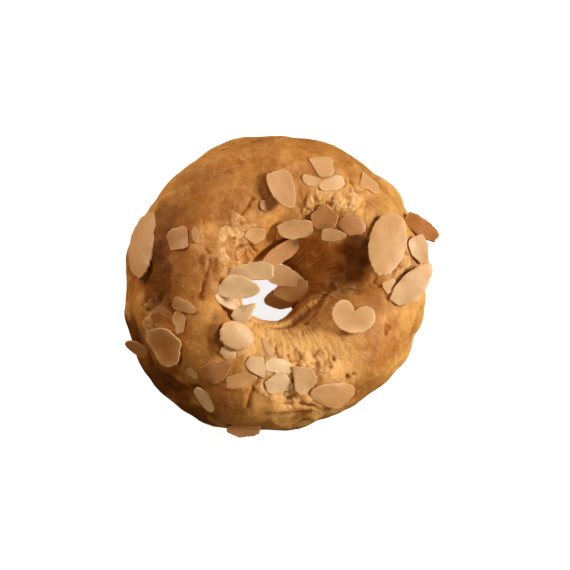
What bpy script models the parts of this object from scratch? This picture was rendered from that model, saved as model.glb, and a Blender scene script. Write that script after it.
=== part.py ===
"""An almond butter cookie: a thick ring of baked dough, shaped by hand, with sliced almonds all over it.

The ring lies flat on the table, +Z up, with the origin on the table under the middle of the whole cookie.
Places on the ring are given by two angles in degrees:
  around  0 at +X, 90 at +Y, counted anticlockwise as seen from above,
  over    0 on the outer side, 90 on the crest, 180 in the hole, 270 on the underside.
A slice of almond is turned on the dough by three more angles:
  heading  0 along increasing `around`, 90 along increasing `over`, for its pointed end,
  pitch    how far that end is tipped up from the dough,
  roll     how far its left side is tipped up.
Lengths in the tables below are in millimetres.
"""

import math
from typing import NamedTuple

import bmesh
import bpy
from mathutils import Matrix, Vector, noise

MM = 0.001

# The ring of dough
RING_CENTRE = Vector((1.0, 1.2, 0.0)) * MM
RING_RADIUS = 45.5 * MM
OVAL_SHARE = 0.045
OVAL_HEADING = 97
LOBE_SHARE = 0.006
LOBE_HEADING = 62
HOLE_RADIUS = 8.5 * MM
HOLE_OFFSET = Vector((-1.1, -4.0)) * MM
BELLY_HEIGHT = 15.5 * MM
CREST_RISE = 20.0 * MM
UNDERSIDE_DROP = 17.0 * MM
STEPS_AROUND = 98
STEPS_OVER_TOP = 25
TOP_STARTS_AT = -45
TOP_ENDS_AT = 225

# Its relief: broad swells, lumps, and a smooth foot where it rests
SWELL_SIZE = 16 * MM
SWELL_HEIGHT = 1.7 * MM
LUMP_SIZE = 7 * MM
LUMP_HEIGHT = 1.0 * MM
PLATE_SIZE = 6.5 * MM
PLATE_HEIGHT = 1.8 * MM
PLATE_WARP = 0.35
PLATE_WARP_FINENESS = 1.4
PLATE_SCATTER = 3.7
PLATE_SEED = 1795536408     # vector noise differs in each run of Blender unless it has a seed
PATCH_EDGE_STEEPNESS = 1.6
BULGE_FLATNESS = 0.8
BULGE_REACH = 1.5
FOLD_EDGE_WIDTH = 1.6 * MM
FOLD_ENDS_SHARE = 1.25
FOLD_ENDS_STEEPNESS = 1.4
FOLD_REACH_BEHIND = 3
FOOT_HEIGHT = 2 * MM
RELIEF_FULL_AT = 7 * MM

# The almonds
SLICE_SIDES = 14
CHIP_SIDES = 9
SLICE_GAP = 0.3 * MM
RIM_SHARE = 0.7
RIM_UNEVENNESS = 0.16
RIM_FINENESS = 1.4
SLICE_RINGS = (0.58, 1)
CHIP_RINGS = (1,)

DOUGH_COLOUR = (0.62, 0.33, 0.12, 1)
ALMOND_COLOUR = (0.74, 0.50, 0.27, 1)


class Patch(NamedTuple):
    """A craggy area of dough that broke up in small plates."""
    around: float
    over: float
    radius: float


class Bulge(NamedTuple):
    """A rounded lump pushed up from the dough, or a hollow where its height is below zero."""
    around: float
    over: float
    heading: float
    length: float
    width: float
    height: float


class Fold(NamedTuple):
    """The edge of a torn flap: the dough on the line's left side stands higher, and falls back behind it."""
    around: float
    over: float
    heading: float
    length: float
    step: float
    fall: float


class Flake(NamedTuple):
    """A piece of sliced almond."""
    name: str
    spot: tuple             # around, over, rise of its middle above the dough
    turn: tuple             # heading, pitch, roll
    size: tuple             # length, width, thickness
    tip: float = 0.15       # how much narrower it is towards its pointed end
    bow: float = 0.5        # how far its ends are bent up
    cup: float = 0.2        # how far its sides are bent up
    breaks: tuple = ()      # straight broken edges: direction from the middle in degrees, and distance
    notch: tuple = ()       # a bite out of the rim: its direction and half width in degrees, and its depth


PATCHES = [
    Patch(122, 95, 14),
    Patch(67, 65, 10),
    Patch(215, 129, 12),
    Patch(258, 45, 7),
    Patch(322, 85, 13),
    Patch(332, 42, 12),
    Patch(40, 125, 9),
]

BULGES = [
    Bulge(305, 48, 20, 16, 13, 2.2),
    Bulge(269, 87, 0, 10, 10, 1.4),
    Bulge(150, 55, 0, 26, 16, 0.8),
    Bulge(196, 128, 90, 16, 12, 1.0),
    Bulge(344, 118, 0, 34, 16, 0.8),
    Bulge(226, 62, 0, 16, 10, -0.9),
    Bulge(285, 20, 0, 26, 14, -1.2),
    Bulge(33, 66, 0, 8, 6, -0.6),
    Bulge(86, 128, 90, 14, 8, -1.2),
    Bulge(262, 60, 60, 12, 7, -1.0),
    Bulge(243, 119, 0, 8, 7, 1.3),
    Bulge(334, 12, 0, 28, 26, -2.4),
    Bulge(287, 8, 0, 40, 26, -1.1),
    Bulge(187, 20, 0, 16, 20, 1.1),
    Bulge(214, 12, 0, 16, 24, -0.7),
    Bulge(243, 8, 0, 12, 24, -1.0),
    Bulge(52, 8, 0, 12, 20, 1.5),
    Bulge(75, 18, 0, 14, 20, 0.9),
    Bulge(128, 20, 0, 22, 20, -0.9),
    Bulge(25, 8, 0, 16, 20, 1.0),
    Bulge(102, 26, 0, 11, 11, 1.2),
    Bulge(8, 172, 90, 14, 12, 0.9),
    Bulge(197, 165, 0, 16, 14, 2.0),
]

FOLDS = [
    Fold(232, 103, 15, 17, 0.8, 9),
    Fold(212, 126, 66, 6, 0.6, 5),
    Fold(330, 51, -5, 21, 1.3, 7),
    Fold(312, 40, 58, 11, 0.7, 5),
    Fold(21, 131, 180, 11, 0.9, 6),
    Fold(304, 65, 24, 11, 1.0, 5),
    Fold(332, 96, 4, 20, -0.6, 8),
    Fold(245, 32, 83, 11, 0.8, 6),
    Fold(251, 97, -5, 9, 0.7, 5),
    Fold(174, 102, 128, 5, 0.6, 4),
]

# Slices that are pieces of their own
SLICES = [
    Flake("slice_crest_curled", (164, 96, 1.4), (102, 13, -8), (12.8, 8.0, 1.2), 0.25, 0.8, 0.5, ((180, 5.2),)),
    Flake("slice_rim_square", (149, 129, 1.6), (-163, -9, -13), (12.3, 5.8, 1.2), 0.0, 0.3, 0.4,
          ((5, 5.0), (205, 5.0))),
    Flake("slice_rim_pointed", (108, 117, 0.9), (-135, 0, -2), (8.0, 3.6, 1.2), 0.30, 0.4, 0.2,
          ((180, 3.4),)),
    Flake("slice_hole_leaf", (168, 153, 3.5), (-157, -30, -35), (14.2, 5.4, 1.3), -0.22, 0.5, 0.3),
    Flake("slice_hole_left", (244, 125, 6.2), (92, 70, 6), (14.0, 5.4, 1.3), -0.40, 0.2, 0.2,
          ((0, 6.2), (-90, 2.2))),
    Flake("slice_hole_right", (91, 164, 5.2), (36, 45, 33), (12.6, 5.8, 1.2), -0.30, 0.6, 0.3, ((0, 5.4),)),
    Flake("slice_hole_under", (30, 163, 3.2), (105, 42, -20), (11.6, 6.9, 1.2), 0.10, 0.3, 0.4,
          ((60, 3.6), (180, 4.8))),
    Flake("slice_hole_deep", (22, 188, 4.9), (142, 63, -66), (11.0, 6.5, 1.2), 0.10, 0.3, 0.4),
    Flake("slice_rim_pale", (257, 117, 4.3), (51, 55, 31), (13.4, 6.4, 1.2), 0.15, 0.4, 0.3, ((140, 4.0),)),
    Flake("slice_rim_lower", (262, 113, 0.6), (30, 14, 16), (9.4, 5.0, 1.2), 0.10, 0.4, 0.2, ((180, 4.0),)),
    Flake("slice_rim_triangle", (278, 118, 2.5), (94, 51, 6), (8.3, 4.4, 1.2), 0.5, 0.2, 0.1, ((180, 3.2),)),
    Flake("slice_side_long", (230, 25, 0.4), (16, 0, -8), (21.0, 10.5, 1.4), 0.12, -1.0, -0.4),
    Flake("slice_side_oval", (271, 44, 1.0), (-8, 0, -11), (11.2, 9.8, 1.3), 0.2, 0.5, 0.5,
          ((-78, 3.5), (120, 4.6))),
    Flake("slice_side_stub", (267, 12, 2.2), (-174, 37, 37), (7.4, 3.6, 1.4), 0.10, 0.2, 0.1, ((180, 3.0),)),
    Flake("slice_bottom_edge", (314, 23, 0.8), (-165, 10, 31), (9.8, 5.0, 1.3), 0.20, 0.5, 0.4),
    Flake("slice_half_almond", (286, 99, 1.5), (31, 2, 4), (10.0, 8.0, 2.8), 0.10, 0.0, -0.3),
    Flake("slice_front_pointed", (332, 80, 0.9), (-105, 3, 7), (8.8, 7.6, 1.2), 0.55, 0.4, 0.3,
          ((180, 3.4), (125, 3.7), (-76, 2.7))),
    Flake("slice_front_long", (349, 56, 0.5), (148, 3, 7), (17.0, 7.6, 1.3), 0.25, -0.7, -0.2,
          ((180, 7.6), (140, 5.6))),
    Flake("slice_largest", (80, 85, 1.4), (144, 5, 9), (20.2, 11.2, 1.9), 0.10, 0.3, -0.3),
    Flake("slice_stick", (83, 41, 2.6), (-167, 32, 46), (13.4, 5.6, 1.9), 0.05, 0.2, 0.1,
          ((0, 5.6), (180, 5.8))),
    Flake("slice_right_upper", (75, 53, 1.0), (-162, 4, 33), (8.8, 6.6, 1.2), 0.20, 0.4, 0.3,
          ((180, 3.8), (60, 3.0))),
    Flake("slice_right_long", (58, 64, 2.1), (-31, 16, -21), (18.0, 7.8, 1.3), 0.30, -0.6, 0.2,
          ((190, 7.8), (-125, 5.0))),
    Flake("slice_kidney", (24, 104, 1.0), (-63, 0, 7), (12.4, 10.8, 1.3), 0.0, 0.4, 0.7, (), (78, 36, 4.3)),
    Flake("slice_edge_pale", (295, 38, 1.0), (-26, 0, -10), (8.8, 3.6, 1.2), 0.0, 0.5, 0.1),
    Flake("slice_far_long", (118, -24, 0.6), (12, 0, 0), (16.0, 9.5, 1.3), 0.15, -0.8, -0.3),
    Flake("slice_far_broken", (64, -12, 0.8), (160, 0, 4), (11.0, 8.5, 1.2), 0.10, -0.4, -0.2, ((180, 4.0),)),
    Flake("slice_far_small", (150, -16, 0.7), (-40, 0, 3), (9.0, 6.0, 1.2), 0.25, -0.3, 0.0),
    Flake("slice_near_low", (306, -44, 0.5), (-170, 0, 0), (12.5, 7.0, 1.2), 0.20, -0.6, -0.2),
]

# A slice that is broken by the ones lying across it
LIES_UNDER = {
    "slice_rim_lower": ("slice_rim_pale", "slice_rim_triangle"),
    "slice_hole_under": ("slice_hole_right",),
}

# Smaller chips, baked onto the dough
CHIPS = [
    Flake("chip", (137, 69, 0.3), (-142, 3, 0), (9.0, 7.2, 1.4), 0.35, 0.2, 0.2, ((180, 3.2), (75, 2.9))),
    Flake("chip", (142, 86, 0.4), (-174, 3, 0), (6.4, 3.4, 1.3), 0.1, 0.2, 0.2, ((80, 1.3), (200, 2.6))),
    Flake("chip", (129, 82, 0.4), (-141, 0, 0), (9.0, 5.0, 1.4), 0.1, 0.2, 0.2, ((100, 1.9), (0, 3.6))),
    Flake("chip", (111, 57, 0.2), (-137, 3, 0), (9.6, 6.4, 1.3), 0.0, 0.2, 0.2, ((150, 3.6), (-20, 3.8))),
    Flake("chip", (174, 108, 0.5), (174, 4, 0), (6.2, 4.2, 1.3), 0.1, 0.2, 0.2, ((90, 1.6),)),
    Flake("chip", (124, 111, 0.6), (-162, -4, 8), (7.8, 7.2, 1.6), 0.1, 0.3, 0.3, ((60, 3.1),)),
    Flake("chip", (103, 102, 0.2), (-134, 0, 0), (7.8, 6.2, 1.4), 0.1, 0.1, 0.1, ((220, 3.0),)),
    Flake("chip", (198, 130, 0.3), (138, 0, 0), (9.2, 5.4, 1.2), 0.0, 0.2, 0.2, ((30, 3.4), (250, 2.0))),
    Flake("chip", (279, 129, 0.3), (87, 4, 0), (8.4, 5.0, 1.3), 0.3, 0.2, 0.1, ((180, 3.2),)),
    Flake("chip", (228, 65, 0.7), (13, 3, -6), (8.2, 6.8, 1.4), 0.1, 0.3, 0.3, ((0, 3.1), (100, 2.8))),
    Flake("chip", (224, 79, 0.5), (26, 0, 10), (5.0, 2.0, 1.3), 0.1, 0.1, 0.0),
    Flake("chip", (259, 72, 0.7), (51, 4, 10), (7.8, 4.0, 1.3), 0.2, 0.3, 0.2, ((-80, 1.5), (180, 3.2))),
    Flake("chip", (265, 64, 0.7), (-4, 0, 12), (7.2, 4.0, 1.3), 0.1, 0.2, 0.2, ((0, 2.9), (60, 1.8))),
    Flake("chip", (289, 84, 0.7), (11, 0, 0), (4.6, 3.8, 1.8), 0.0, 0.0, -0.2),
    Flake("chip", (308, 107, 0.4), (-61, 2, 12), (6.8, 2.4, 1.3), 0.0, 0.2, 0.0, ((0, 3.0),)),
    Flake("chip", (305, 87, 0.6), (-38, 4, 4), (7.2, 5.4, 1.3), 0.0, 0.3, 0.2, ((150, 2.7), (-60, 2.1))),
    Flake("chip", (317, 92, 0.5), (1, 0, -6), (9.2, 4.4, 1.5), 0.0, 0.2, 0.2, ((180, 3.8), (20, 3.6))),
    Flake("chip", (319, 77, 0.5), (11, 0, 0), (8.6, 6.2, 1.3), 0.0, 0.3, 0.2, ((120, 2.6), (30, 3.6))),
    Flake("chip", (291, 66, 0.6), (53, 6, 0), (11.0, 5.8, 1.5), 0.0, 0.4, 0.3, ((200, 4.4), (-40, 3.0))),
    Flake("chip", (302, 71, 0.8), (34, 6, 12), (10.4, 4.0, 1.4), 0.1, 0.3, 0.2, ((180, 4.2), (-70, 1.5))),
    Flake("chip", (285, 49, 0.7), (-1, 8, 0), (3.8, 2.8, 1.3), 0.1, 0.2, 0.1, ((90, 1.1),)),
    Flake("chip", (56, 82, 0.5), (-44, 4, 0), (5.4, 3.8, 1.3), 0.1, 0.2, 0.1, ((180, 2.2),)),
    Flake("chip", (40, 12, 0.8), (-12, 0, 6), (8.0, 4.6, 1.3), 0.0, -0.2, -0.1, ((0, 3.5),)),
    Flake("chip", (95, -26, 0.4), (30, 0, 0), (7.0, 4.6, 1.3), 0.2, -0.2, 0.0, ((180, 2.8),)),
    Flake("chip", (20, -24, 0.4), (70, 0, 0), (7.4, 5.0, 1.3), 0.2, -0.2, 0.0, ((140, 2.6),)),
    Flake("chip", (238, -30, 0.4), (20, 0, 0), (7.8, 5.0, 1.3), 0.2, -0.2, 0.0, ((200, 3.0),)),
]


# ---- The surface of the ring ----

def outer_radius(around):
    """How far the dough's side is from the ring's centre."""
    oval = OVAL_SHARE * math.cos(2 * (around - math.radians(OVAL_HEADING)))
    lobes = LOBE_SHARE * math.cos(3 * (around - math.radians(LOBE_HEADING)))
    return RING_RADIUS * (1 + oval + lobes)


def hole_radius(around):
    """How far the hole's wall is from the ring's centre; the hole sits off the middle."""
    return HOLE_RADIUS + HOLE_OFFSET.x * math.cos(around) + HOLE_OFFSET.y * math.sin(around)


def smooth_ring_point(around, over):
    """A point of the ring before its relief, angles in radians."""
    middle = (outer_radius(around) + hole_radius(around)) / 2
    half = (outer_radius(around) - hole_radius(around)) / 2
    rise = CREST_RISE if math.sin(over) > 0 else UNDERSIDE_DROP
    reach = middle + half * math.cos(over)
    height = BELLY_HEIGHT + rise * math.sin(over)
    return RING_CENTRE + Vector((reach * math.cos(around), reach * math.sin(around), height))


def directions(around, over):
    """The unit vectors along increasing `around` and `over`, and outwards, angles in radians."""
    small = 0.001
    along = smooth_ring_point(around + small, over) - smooth_ring_point(around - small, over)
    across = smooth_ring_point(around, over + small) - smooth_ring_point(around, over - small)
    outwards = along.cross(across).normalized()
    along.normalize()
    return along, outwards.cross(along), outwards


def smooth_step(x):
    x = min(max(x, 0), 1)
    return x * x * (3 - 2 * x)


def local_place(feature, point):
    """Where a point lies as seen from a feature: ahead, to its left and above it."""
    around, over = math.radians(feature.around), math.radians(feature.over)
    along, across, outwards = directions(around, over)
    turn = math.radians(feature.heading)
    ahead = along * math.cos(turn) + across * math.sin(turn)
    offset = point - smooth_ring_point(around, over)
    return offset.dot(ahead), offset.dot(outwards.cross(ahead)), offset.length


def patch_share(point):
    """How craggy the dough is here, 0 to 1."""
    share = 0
    for patch in PATCHES:
        centre = smooth_ring_point(math.radians(patch.around), math.radians(patch.over))
        inwards = 1 - (point - centre).length / (patch.radius * MM)
        share = max(share, smooth_step(PATCH_EDGE_STEEPNESS * inwards))
    return share


def plate_height(point):
    """The dough's broken plates, each at a height of its own."""
    place = (point - RING_CENTRE) / PLATE_SIZE
    warped = place + PLATE_WARP * noise.noise_vector(place * PLATE_WARP_FINENESS)
    nearest = noise.voronoi(warped)[1][0]
    return PLATE_HEIGHT * noise.noise(nearest * PLATE_SCATTER)


def bulge_height(bulge, point):
    ahead, left, distance = local_place(bulge, point)
    if distance > bulge.length * MM * BULGE_REACH:
        return 0
    spread = (2 * ahead / (bulge.length * MM)) ** 2 + (2 * left / (bulge.width * MM)) ** 2
    return bulge.height * MM * math.exp(-spread * spread * BULGE_FLATNESS)


def fold_height(fold, point):
    ahead, left, distance = local_place(fold, point)
    half = fold.length * MM / 2
    if distance > half + FOLD_REACH_BEHIND * fold.fall * MM:
        return 0
    ends = smooth_step(FOLD_ENDS_STEEPNESS * (1 - abs(ahead) / (half * FOLD_ENDS_SHARE)))
    behind = math.exp(-max(left, 0) / (fold.fall * MM))
    return fold.step * MM * ends * behind * smooth_step(0.5 + left / FOLD_EDGE_WIDTH)


def relief(point):
    """How far the baked surface stands off the smooth ring at this point of it."""
    height = SWELL_HEIGHT * noise.noise((point - RING_CENTRE) / SWELL_SIZE)
    height += LUMP_HEIGHT * noise.noise((point - RING_CENTRE) / LUMP_SIZE)
    share = patch_share(point)
    if share > 0:
        height += share * plate_height(point)
    height += sum(bulge_height(bulge, point) for bulge in BULGES)
    height += sum(fold_height(fold, point) for fold in FOLDS)
    return height * smooth_step((point.z - FOOT_HEIGHT) / (RELIEF_FULL_AT - FOOT_HEIGHT))


def baked_ring_point(around, over):
    """A point of the ring with its relief, angles in radians."""
    point = smooth_ring_point(around, over)
    outwards = directions(around, over)[2]
    point = point + outwards * relief(point)
    point.z = max(point.z, 0)
    return point


# ---- Meshes ----

def new_object(name, bm, material=None, collection=None):
    """Turns a bmesh into an object, with its faces pointing outwards."""
    bmesh.ops.recalc_face_normals(bm, faces=bm.faces)
    mesh = bpy.data.meshes.new(name)
    bm.to_mesh(mesh)
    bm.free()
    obj = bpy.data.objects.new(name, mesh)
    if material:
        mesh.materials.append(material)
    (collection or bpy.context.scene.collection).objects.link(obj)
    return obj


def make_material(name, colour, roughness):
    material = bpy.data.materials.new(name)
    material.use_nodes = True
    shader = material.node_tree.nodes["Principled BSDF"]
    shader.inputs["Base Color"].default_value = colour
    shader.inputs["Roughness"].default_value = roughness
    shader.inputs["Metallic"].default_value = 0
    return material


def over_steps():
    """The angles over the ring, close on top and wider on the flat underside."""
    span = TOP_ENDS_AT - TOP_STARTS_AT
    angles = [math.radians(TOP_STARTS_AT + span * j / STEPS_OVER_TOP) for j in range(STEPS_OVER_TOP + 1)]
    flat_edge = math.asin(BELLY_HEIGHT / UNDERSIDE_DROP)
    return angles + [math.pi + flat_edge, 1.5 * math.pi, 2 * math.pi - flat_edge]


def make_ring(material):
    """The ring of dough as a closed grid of quads."""
    bm = bmesh.new()
    angles = over_steps()
    rows = []
    for i in range(STEPS_AROUND):
        around = 2 * math.pi * i / STEPS_AROUND
        rows.append([bm.verts.new(baked_ring_point(around, over)) for over in angles])
    for i in range(STEPS_AROUND):
        row, following = rows[i], rows[(i + 1) % STEPS_AROUND]
        for j in range(len(angles)):
            k = (j + 1) % len(angles)
            bm.faces.new((row[j], following[j], following[k], row[k]))
    return new_object("dough_ring", bm, material)


def rim_reach(flake, turn):
    """How far the rim of a flake is from its middle in a direction, and that direction's unit vector."""
    length, width, _ = flake.size
    x = length / 2 * math.cos(turn)
    y = width / 2 * math.sin(turn) * (1 - flake.tip * math.cos(turn))
    reach = math.hypot(x, y)
    unit = Vector((x / reach, y / reach, 0))
    reach *= 1 + RIM_UNEVENNESS * noise.noise(unit * RIM_FINENESS + Vector((0, 0, flake.spot[0])))
    for direction, distance in flake.breaks:
        facing = unit.dot(Vector((math.cos(math.radians(direction)), math.sin(math.radians(direction)), 0)))
        if facing * reach > distance:
            reach = distance / facing
    if flake.notch:
        direction, half_width, depth = flake.notch
        angle = math.degrees(math.atan2(unit.y, unit.x))
        off = (angle - direction + 180) % 360 - 180
        reach -= depth * math.exp(-((off / half_width) ** 2))
    return reach, unit


def flake_surface(flake, point, side, grow):
    """Bends a flat point of a flake, given in millimetres, and lifts it to the upper or lower face."""
    length, width, thickness = flake.size
    out = min((2 * point.x / length) ** 2 + (2 * point.y / width) ** 2, 1)
    half = thickness / 2 * (1 - (1 - RIM_SHARE) * out) + grow
    bend = flake.bow * (2 * point.x / length) ** 2 + flake.cup * (2 * point.y / width) ** 2
    return Vector((point.x, point.y, bend + side * half))


def flake_frame(flake):
    """The matrix that sets a flake on the dough."""
    around, over = math.radians(flake.spot[0]), math.radians(flake.spot[1])
    along, across, outwards = directions(around, over)
    base = Matrix((along, across, outwards)).transposed()
    heading, pitch, roll = (math.radians(angle) for angle in flake.turn)
    turned = base @ Matrix.Rotation(heading, 3, "Z") @ Matrix.Rotation(-pitch, 3, "Y")
    turned = turned @ Matrix.Rotation(roll, 3, "X")
    middle = baked_ring_point(around, over) + outwards * (flake.spot[2] * MM)
    return Matrix.Translation(middle) @ turned.to_4x4() @ Matrix.Diagonal((MM, MM, MM, 1))


def make_flake(flake, sides, shares, material=None, grow=0.0, collection=None):
    """A slice or chip: a thin disc with its own outline, an upper and a lower face and a rim."""
    bm = bmesh.new()
    frame = flake_frame(flake)
    faces = []
    for side in (1, -1):
        middle = bm.verts.new(frame @ flake_surface(flake, Vector((0, 0, 0)), side, grow))
        rings = []
        for share in shares:
            ring = []
            for k in range(sides):
                reach, unit = rim_reach(flake, 2 * math.pi * k / sides)
                flat = unit * (share * (reach + grow))
                ring.append(bm.verts.new(frame @ flake_surface(flake, flat, side, grow)))
            rings.append(ring)
        faces.append((middle, rings))
    for middle, rings in faces:
        for k in range(sides):
            n = (k + 1) % sides
            bm.faces.new((middle, rings[0][k], rings[0][n]))
            for inner, outer in zip(rings, rings[1:]):
                bm.faces.new((inner[k], outer[k], outer[n], inner[n]))
    upper, lower = faces[0][1][-1], faces[1][1][-1]
    for k in range(sides):
        n = (k + 1) % sides
        bm.faces.new((upper[k], lower[k], lower[n], upper[n]))
    return new_object(flake.name, bm, material, collection)


# ---- Joining and cutting ----

def apply_boolean(target, operation, collection):
    """Joins or cuts a whole collection with one Boolean, applies it and removes the collection's objects."""
    modifier = target.modifiers.new(operation.lower(), "BOOLEAN")
    modifier.operation = operation
    modifier.solver = "EXACT"
    modifier.operand_type = "COLLECTION"
    modifier.collection = collection
    graph = bpy.context.evaluated_depsgraph_get()
    mesh = bpy.data.meshes.new_from_object(target.evaluated_get(graph))
    target.modifiers.clear()
    target.data = mesh
    for obj in list(collection.objects):
        bpy.data.objects.remove(obj)
    bpy.data.collections.remove(collection)


def keep_largest_body(obj):
    """Drops loose scraps and sealed hollows, so that one closed body is left."""
    bm = bmesh.new()
    bm.from_mesh(obj.data)
    left = set(bm.verts)
    bodies = []
    while left:
        body, edge = set(), [left.pop()]
        while edge:
            vert = edge.pop()
            body.add(vert)
            for link in vert.link_edges:
                other = link.other_vert(vert)
                if other in left:
                    left.remove(other)
                    edge.append(other)
        bodies.append(body)
    bodies.sort(key=len)
    for body in bodies[:-1]:
        bmesh.ops.delete(bm, geom=list(body), context="VERTS")
    bmesh.ops.triangulate(bm, faces=bm.faces)
    bm.to_mesh(obj.data)
    bm.free()


def new_collection(name):
    collection = bpy.data.collections.new(name)
    bpy.context.scene.collection.children.link(collection)
    return collection


def break_under(piece, names):
    """Cuts a slice clear of the named ones that lie across it."""
    above = new_collection("above")
    for flake in SLICES:
        if flake.name in names:
            make_flake(flake, SLICE_SIDES, SLICE_RINGS, grow=SLICE_GAP / MM, collection=above)
    apply_boolean(piece, "DIFFERENCE", above)
    keep_largest_body(piece)


def main():
    for obj in list(bpy.data.objects):
        bpy.data.objects.remove(obj)
    noise.seed_set(PLATE_SEED)
    dough = make_material("baked dough", DOUGH_COLOUR, 0.75)
    almond = make_material("sliced almond", ALMOND_COLOUR, 0.55)

    ring = make_ring(dough)
    chips = new_collection("chips")
    for chip in CHIPS:
        make_flake(chip, CHIP_SIDES, CHIP_RINGS, almond, collection=chips)
    apply_boolean(ring, "UNION", chips)

    sockets = new_collection("sockets")
    for flake in SLICES:
        make_flake(flake, SLICE_SIDES, SLICE_RINGS, grow=SLICE_GAP / MM, collection=sockets)
    apply_boolean(ring, "DIFFERENCE", sockets)
    keep_largest_body(ring)

    for flake in SLICES:
        piece = make_flake(flake, SLICE_SIDES, SLICE_RINGS, almond)
        if flake.name in LIES_UNDER:
            break_under(piece, LIES_UNDER[flake.name])


main()
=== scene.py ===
"""The looks of an almond butter cookie: a hand-shaped ring of baked dough with sliced almonds all over it.

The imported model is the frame. The dough and every slice are modelled again over their solids, with the same
tables and the same surface, and finer relief on top. Places on the ring are given by two angles in degrees:
  around  0 at +X, 90 at +Y, counted anticlockwise as seen from above,
  over    0 on the outer side, 90 on the crest, 180 in the hole, 270 on the underside.
A slice is turned on the dough by three more: heading (0 along increasing `around`, 90 along increasing
`over`), pitch (how far its pointed end is tipped up) and roll (how far its left side is tipped up).
Lengths in the tables are in millimetres.
"""

import math
from functools import partial
from typing import NamedTuple

import bmesh
import bpy
import numpy as np
from mathutils import Matrix, Vector, noise


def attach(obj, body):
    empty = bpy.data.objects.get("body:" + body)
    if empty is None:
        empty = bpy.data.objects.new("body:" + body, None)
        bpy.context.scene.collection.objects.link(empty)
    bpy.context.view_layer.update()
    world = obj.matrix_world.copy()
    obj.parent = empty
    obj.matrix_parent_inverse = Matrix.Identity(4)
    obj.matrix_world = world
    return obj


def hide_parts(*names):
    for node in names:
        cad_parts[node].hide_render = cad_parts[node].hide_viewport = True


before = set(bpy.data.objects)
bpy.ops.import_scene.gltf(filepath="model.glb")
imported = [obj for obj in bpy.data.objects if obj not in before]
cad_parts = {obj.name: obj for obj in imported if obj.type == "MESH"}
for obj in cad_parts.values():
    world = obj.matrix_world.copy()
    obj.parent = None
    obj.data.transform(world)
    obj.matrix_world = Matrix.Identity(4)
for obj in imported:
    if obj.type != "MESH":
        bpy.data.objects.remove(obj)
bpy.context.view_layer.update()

MM = 0.001

# The ring of dough
RING_CENTRE = np.array((1.0, 1.2, 0.0)) * MM
RING_RADIUS = 45.5 * MM
OVAL_SHARE = 0.045
OVAL_HEADING = 97
LOBE_SHARE = 0.006
LOBE_HEADING = 62
HOLE_RADIUS = 8.5 * MM
HOLE_OFFSET = np.array((-1.1, -4.0)) * MM
BELLY_HEIGHT = 15.5 * MM
CREST_RISE = 20.0 * MM
UNDERSIDE_DROP = 17.0 * MM
SECTION_RADIUS = (RING_RADIUS - HOLE_RADIUS) / 2
STEPS_AROUND = 480
STEPS_OVER = 200
TOP_STARTS_AT = -45
TOP_ENDS_AT = 225
TOP_SHARE_OF_STEPS = 0.93

# Its relief, as the solid has it
SWELL_SIZE = 16 * MM
SWELL_HEIGHT = 1.7 * MM
LUMP_SIZE = 7 * MM
LUMP_HEIGHT = 1.0 * MM
PLATE_SIZE = 6.5 * MM
PLATE_HEIGHT = 1.8 * MM
PLATE_WARP = 0.35
PLATE_SEED = 1795536408     # vector noise differs in each run of Blender unless it has a seed
FOLD_LIP = 1.6 * MM
FOOT_HEIGHT = 2 * MM
RELIEF_FULL_AT = 7 * MM

# What the skin keeps of that relief here, where finer relief and flakes break it up
SKIN_LUMP_SHARE = 0.6
SKIN_PLATE_SHARE = 0.3
SKIN_FOLD_SHARE = 0.5
SEAT_SHARE = 0.35       # how far it goes back to the solid's relief under a slice

# Finer relief
LAYER_SIZE = 5.5 * MM
LAYER_HEIGHT = 0.08 * MM
LAYERS_PER_SIZE = 4.0
LAYER_EDGE = 0.3
SHARD_SIZE = 3.0 * MM
SHARD_SHARE = 0.4       # shards and streaks run over the ring: their lengths count for this share
STREAK_SHARE = 0.45
SHARD_HEIGHT = 0.30 * MM
SHARD_TILT = 1.2
CALM_SHARE = 0.12       # what whole skin has of the torn crust's relief
CRUMPLE_SIZE = 3.2 * MM
CRUMPLE_HEIGHT = 0.15 * MM
SKIN_SIZE = 1.3 * MM
SKIN_HEIGHT = 0.05 * MM
FLAKE_RAGGEDNESS = 0.9
FLAKE_RAG_SIZE = 2.2 * MM
FLAKE_HEIGHT = 0.35 * MM
WRINKLE_SPACING = 1.7 * MM
WRINKLE_LENGTH = 9 * MM
WRINKLE_HEIGHT = 0.15 * MM
CRACK_WARP_SIZE = 3 * MM
CRACK_WARP = 1.1 * MM
PATCH_RAG_SIZE = 4 * MM
PATCH_RAGGEDNESS = 0.6

# How sharply patches, pale flakes and covered places end at their borders, and how far out a cover reaches
PATCH_BORDER = 1.6
FLAKE_BORDER = 3.5
COVER_BORDER = 2.2
COVER_REACH = 1.25

# From this the colours paint a highlight on raised edges and shade in hollows.
# What counts as raised for the colours: steps to compare over, the height that counts in full, and its weight
NEAR_RELIEF = (3, 0.25 * MM, 0.35)
WIDE_RELIEF = (9, 0.7 * MM, 0.25)

# The almonds
SLICE_SIDES = 112
SLICE_ROWS = 22
CHIP_SIDES = 72
CHIP_ROWS = 16
RIM_SHARE = 0.7
SLICE_THINNED_TO = 0.78
CHIP_THINNED_TO = 0.5
CHIP_UNEVEN = 0.28
RIM_NIBBLE = 0.045
RIM_NIBBLE_PACES = (5, 13)
CURL_HEIGHT = 0.35
CHIP_SINK = 0.36 * MM


class Patch(NamedTuple):
    """A round area of the dough, and how strongly what it stands for shows there."""
    around: float
    over: float
    radius: float
    strength: float = 1.0


class Bulge(NamedTuple):
    """A rounded lump pushed up from the dough, or a hollow where its height is below zero."""
    around: float
    over: float
    heading: float
    length: float
    width: float
    height: float


class Fold(NamedTuple):
    """The edge of a torn flap: the dough on the line's left side stands higher, and falls back behind it."""
    around: float
    over: float
    heading: float
    length: float
    step: float
    fall: float


class Crack(NamedTuple):
    """A split in the crust that follows a line of places."""
    places: tuple
    width: float
    depth: float


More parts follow.
